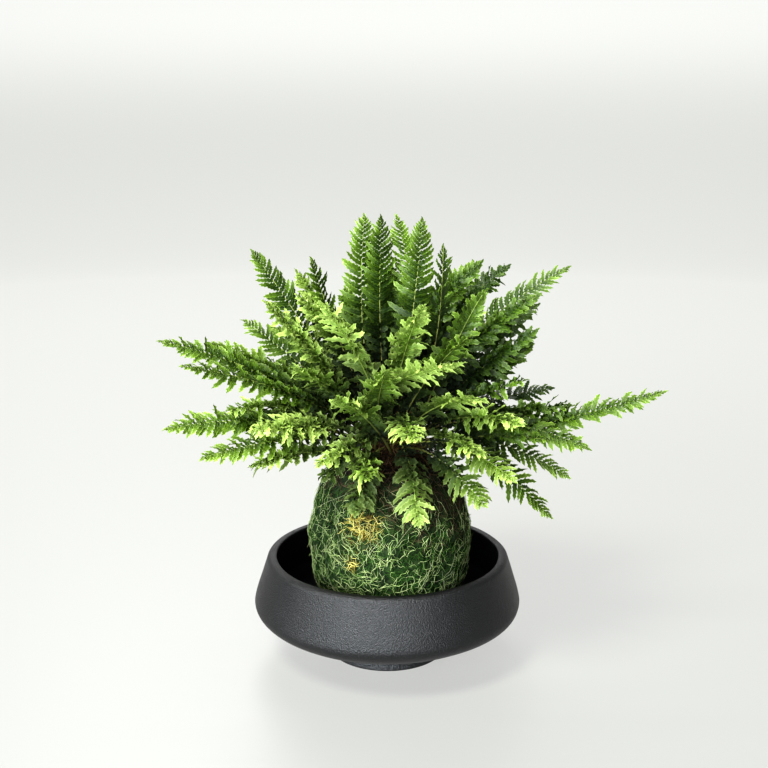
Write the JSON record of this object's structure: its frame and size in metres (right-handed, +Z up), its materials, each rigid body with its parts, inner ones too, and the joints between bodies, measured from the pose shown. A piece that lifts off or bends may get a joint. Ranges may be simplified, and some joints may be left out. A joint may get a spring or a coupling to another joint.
{
  "type": "kokedama moss ball plant",
  "caption": "Dwarf ruffled fern growing from a moss-wrapped soil ball that stands in a low round black bowl with a small flat foot.",
  "frame": {"origin": "middle of the bowl's flat foot, on the surface that it stands on", "axes": "+Z up, -Y towards the front that the picture shows, +X to the right of it; the longest frond points along +X"},
  "size_m": [0.3002, 0.1997, 0.2793],
  "materials": {
    "stoneware": "matt black stoneware with a fine pebbled grain",
    "moss": "tangled living moss, dull",
    "soil": "damp packed soil, dull",
    "crown": "brown scaly rootstock, dull",
    "fern": "fresh green leaf, satin"
  },
  "bodies": {
    "root": {"bowl": "stoneware", "moss_wrap": "moss", "soil_ball": "soil", "crown": "crown", "frond_01": "fern", "frond_02": "fern", "frond_03": "fern", "frond_04": "fern", "frond_05": "fern", "frond_06": "fern", "frond_07": "fern", "frond_08": "fern", "frond_09": "fern", "frond_10": "fern", "frond_11": "fern", "frond_12": "fern", "frond_13": "fern", "frond_14": "fern", "frond_15": "fern", "frond_16": "fern", "frond_17": "fern", "frond_18": "fern", "frond_19": "fern", "frond_20": "fern", "frond_21": "fern", "frond_22": "fern", "frond_23": "fern", "frond_24": "fern", "frond_25": "fern", "frond_26": "fern", "frond_27": "fern", "frond_28": "fern", "frond_29": "fern", "frond_30": "fern", "frond_31": "fern", "frond_32": "fern", "frond_33": "fern", "frond_34": "fern", "frond_35": "fern", "frond_36": "fern", "frond_37": "fern", "frond_38": "fern", "frond_39": "fern", "frond_40": "fern", "frond_41": "fern", "frond_42": "fern", "frond_43": "fern", "tuft_44": "fern", "tuft_45": "fern", "tuft_46": "fern", "tuft_47": "fern", "tuft_48": "fern", "tuft_49": "fern", "tuft_50": "fern", "tuft_51": "fern", "tuft_52": "fern", "tuft_53": "fern", "tuft_54": "fern"}
  },
  "joints": []
}
